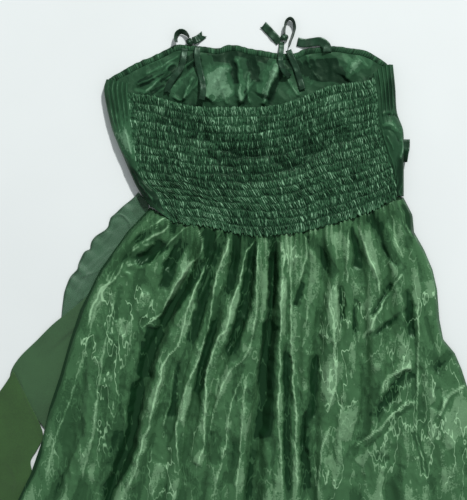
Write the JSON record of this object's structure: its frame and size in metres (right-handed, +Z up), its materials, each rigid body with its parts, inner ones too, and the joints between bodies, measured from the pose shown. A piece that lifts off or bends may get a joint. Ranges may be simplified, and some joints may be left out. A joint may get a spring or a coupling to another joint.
{
  "type": "party dress laid flat",
  "caption": "Long gathered party dress with a shirred back panel, pleated sides and ribbon bows, laid flat with its back upwards.",
  "frame": {"origin": "on the surface, below the middle of the back waist, in the flat underside of the front bodice", "axes": "+Y from the waist to the neckline, +X to the viewer's right seen from above, +Z up from the surface"},
  "size_m": [1.015, 1.2771, 0.0252],
  "materials": {
    "satin": "emerald polyester satin",
    "satin_inside": "inner face of the satin front",
    "shirred_satin": "satin gathered on rows of elastic thread",
    "organza": "sheer organza ruffle",
    "crepe": "matt crepe underlayer",
    "ribbon": "dark green satin ribbon"
  },
  "bodies": {
    "root": {"back_shirred_panel": "shirred_satin", "side_panel_left": "satin", "side_panel_right": "satin", "front_bodice": "satin", "front_lining": "satin_inside", "neck_casing": "satin", "skirt_back": "satin", "skirt_front": "satin", "ruffle_sheer": "organza", "flounce_upper": "crepe", "flounce_lower": "crepe", "bow_left_knot": "ribbon", "bow_left_loop": "ribbon", "bow_left_end": "ribbon", "bow_left_tail_inner": "ribbon", "bow_left_tail_outer": "ribbon", "bow_center_knot": "ribbon", "bow_center_loop": "ribbon", "bow_center_end": "ribbon", "bow_center_tail_left": "ribbon", "bow_center_tail_right": "ribbon", "strap_right": "ribbon", "side_ribbon": "ribbon"}
  },
  "joints": []
}
